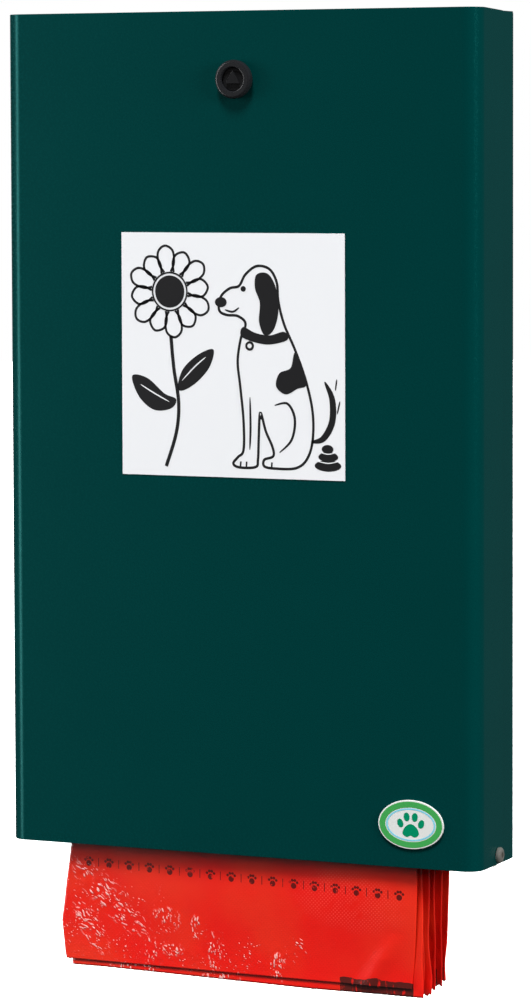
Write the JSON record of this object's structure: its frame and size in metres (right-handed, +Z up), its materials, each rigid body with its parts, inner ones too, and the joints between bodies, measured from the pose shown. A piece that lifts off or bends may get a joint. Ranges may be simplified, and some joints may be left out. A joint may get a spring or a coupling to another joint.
{
  "type": "dog waste bag dispenser",
  "caption": "Flat wall box of folded sheet metal that holds packs of film bags on hooks, with a locked cover that tilts forward and an open bottom where the bags hang out.",
  "frame": {"origin": "centre of the back tray's rear face, on the wall plane", "axes": "+Z up, +Y into the wall (the front looks along -Y), +X to the right as seen from the front"},
  "size_m": [0.28, 0.0632, 0.522],
  "materials": {
    "green_paint": "satin dark green powder coat on steel sheet",
    "black_lacquer": "satin black coated die-cast zinc",
    "stainless": "plain stainless steel",
    "zinc": "bright zinc-plated steel",
    "hook_steel": "turned steel",
    "nylon": "natural nylon",
    "rubber": "matt black",
    "label_white": "white vinyl with black line art",
    "badge": "printed oval sticker, clear domed",
    "header_card": "plain brown card",
    "red_film": "thin embossed red film"
  },
  "bodies": {
    "tray": {"back_tray": "green_paint", "bag_hook_left": "hook_steel", "bag_hook_right": "hook_steel", "pivot_screw_left": "stainless", "pivot_screw_right": "stainless", "pivot_washer_left": "stainless", "pivot_washer_right": "stainless", "pivot_nut_left": "stainless", "pivot_nut_right": "stainless"},
    "cover": {"front_cover": "green_paint", "lock_housing": "black_lacquer", "lock_gasket": "rubber", "lock_nut": "zinc", "pictogram_label": "label_white", "oval_badge": "badge", "pivot_bush_left": "nylon", "pivot_bush_right": "nylon"},
    "lock_core": {"lock_spindle": "black_lacquer", "lock_cam": "zinc", "cam_washer": "zinc", "cam_screw": "zinc"},
    "bag_pack_1": {"header_card_1": "header_card", "bag_film_1": "red_film"},
    "bag_pack_2": {"header_card_2": "header_card", "bag_film_2": "red_film"},
    "bag_pack_3": {"header_card_3": "header_card", "bag_film_3": "red_film"},
    "bag_pack_4": {"header_card_4": "header_card", "bag_film_4": "red_film"},
    "bag_pack_5": {"header_card_5": "header_card", "bag_film_5": "red_film"},
    "first_bag": {"front_bag": "red_film"}
  },
  "joints": [
    {"name": "cover_swing", "type": "hinge", "parent": "tray", "child": "cover", "pos_m": [0, -0.03, -0.22], "axis": [1, 0, 0], "range_deg": [0, 95]},
    {"name": "lock_turn", "type": "hinge", "parent": "cover", "child": "lock_core", "pos_m": [0, -0.059, 0.1888], "axis": [0, 1, 0], "range_deg": [0, 90]},
    {"name": "pack_1_swing", "type": "hinge", "parent": "tray", "child": "bag_pack_1", "pos_m": [0, -0.0084, 0.1113], "axis": [1, 0, 0], "range_deg": [0, 0.9]},
    {"name": "pack_2_swing", "type": "hinge", "parent": "tray", "child": "bag_pack_2", "pos_m": [0, -0.01885, 0.1113], "axis": [1, 0, 0], "range_deg": [0, 2]},
    {"name": "pack_3_swing", "type": "hinge", "parent": "tray", "child": "bag_pack_3", "pos_m": [0, -0.0293, 0.1113], "axis": [1, 0, 0], "range_deg": [0, 3.1]},
    {"name": "pack_4_swing", "type": "hinge", "parent": "tray", "child": "bag_pack_4", "pos_m": [0, -0.03975, 0.1113], "axis": [1, 0, 0], "range_deg": [0, 4.3]},
    {"name": "pack_5_swing", "type": "hinge", "parent": "tray", "child": "bag_pack_5", "pos_m": [0, -0.0502, 0.1113], "axis": [1, 0, 0], "range_deg": [0, 5.4]},
    {"name": "bag_pull", "type": "slide", "parent": "bag_pack_5", "child": "first_bag", "axis": [0, 0, -1], "range_m": [0, 0.32]}
  ],
  "couplings": [
    {"joint": "pack_1_swing", "follows": "cover_swing", "ratio": 0.0082},
    {"joint": "pack_2_swing", "follows": "cover_swing", "ratio": 0.02},
    {"joint": "pack_3_swing", "follows": "cover_swing", "ratio": 0.0318},
    {"joint": "pack_4_swing", "follows": "cover_swing", "ratio": 0.0436},
    {"joint": "pack_5_swing", "follows": "cover_swing", "ratio": 0.0554}
  ]
}
